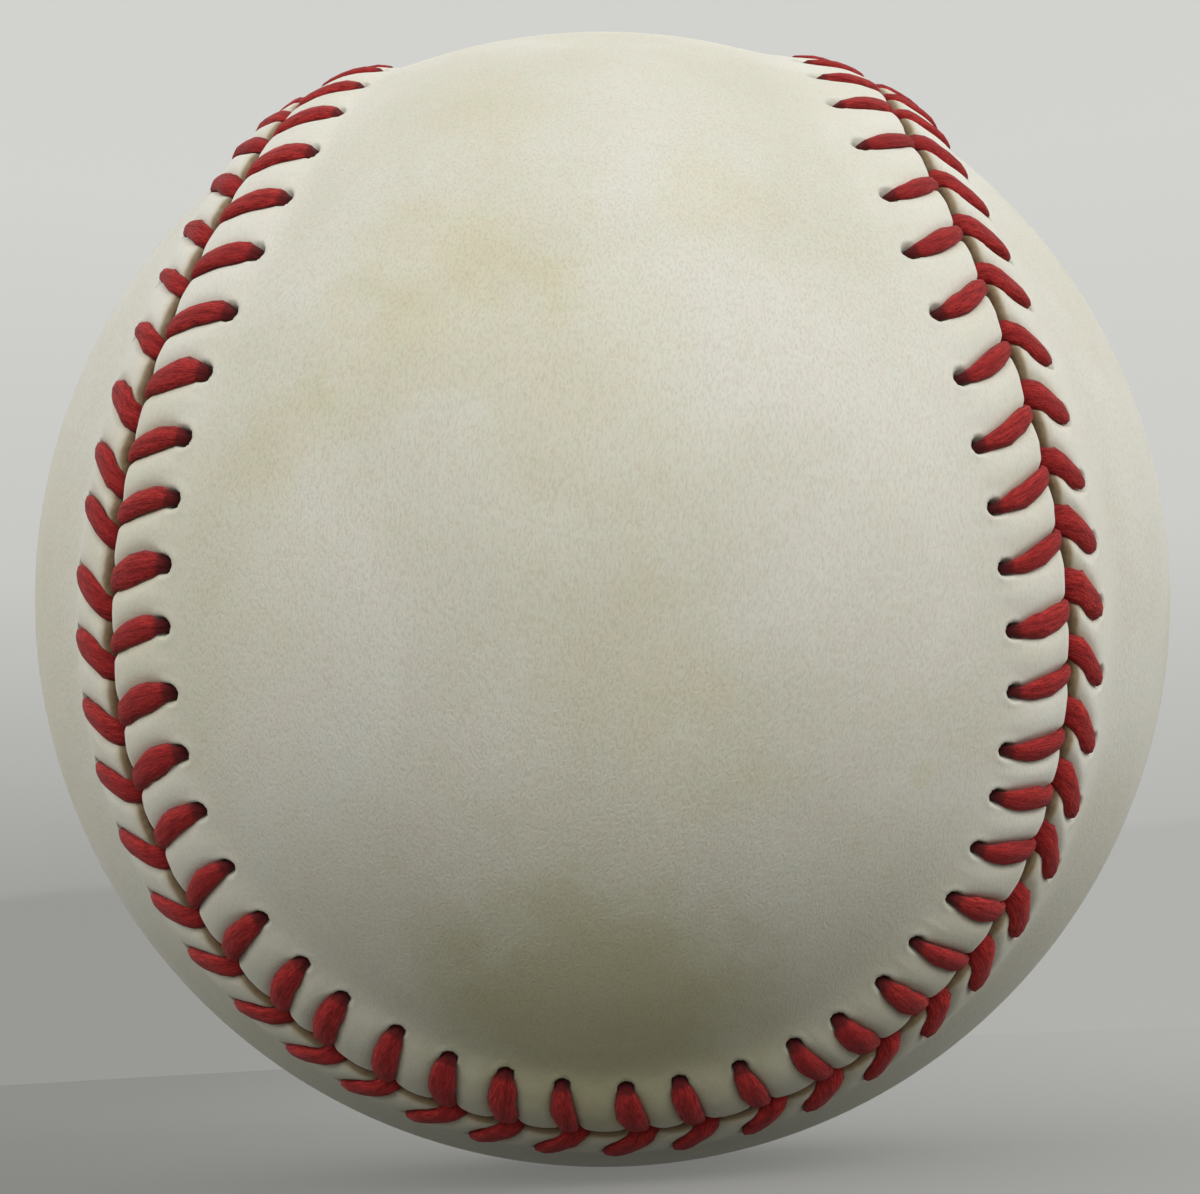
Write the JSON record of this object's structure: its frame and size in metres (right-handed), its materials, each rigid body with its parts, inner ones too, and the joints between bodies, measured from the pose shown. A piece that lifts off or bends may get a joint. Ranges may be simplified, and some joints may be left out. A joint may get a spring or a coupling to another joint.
{
  "type": "baseball",
  "caption": "Hand-stitched leather ball with two figure-eight cover panels, a raised laced seam, yarn windings and a cork and rubber pill.",
  "frame": {"origin": "centre of the ball", "axes": "+Z out through the middle of the upper panel's neck; the upper panel's lobes face -Y and +Y, the lower panel's face -X and +X"},
  "size_m": [0.0732, 0.0732, 0.0732],
  "materials": {
    "cork": "matt composition cork",
    "black_rubber": "moulded, satin",
    "red_rubber": "moulded, satin",
    "blue_grey_wool": "wound wool yarn",
    "white_wool": "wound wool yarn",
    "white_cotton": "fine wound cotton yarn",
    "rubber_cement": "thin dried cement",
    "cover_leather": "fine pebble grain, alum tanned, lightly stained",
    "red_thread": "waxed cotton"
  },
  "bodies": {
    "root": {"cork_core": "cork", "black_rubber_upper_half": "black_rubber", "black_rubber_lower_half": "black_rubber", "red_rubber_washer": "red_rubber", "red_rubber_jacket": "red_rubber", "first_wool_winding": "blue_grey_wool", "second_wool_winding": "white_wool", "third_wool_winding": "blue_grey_wool", "cotton_winding": "white_cotton", "rubber_cement_coat": "rubber_cement", "upper_cover_panel": "cover_leather", "lower_cover_panel": "cover_leather", "first_seam_thread": "red_thread", "second_seam_thread": "red_thread"}
  },
  "joints": []
}
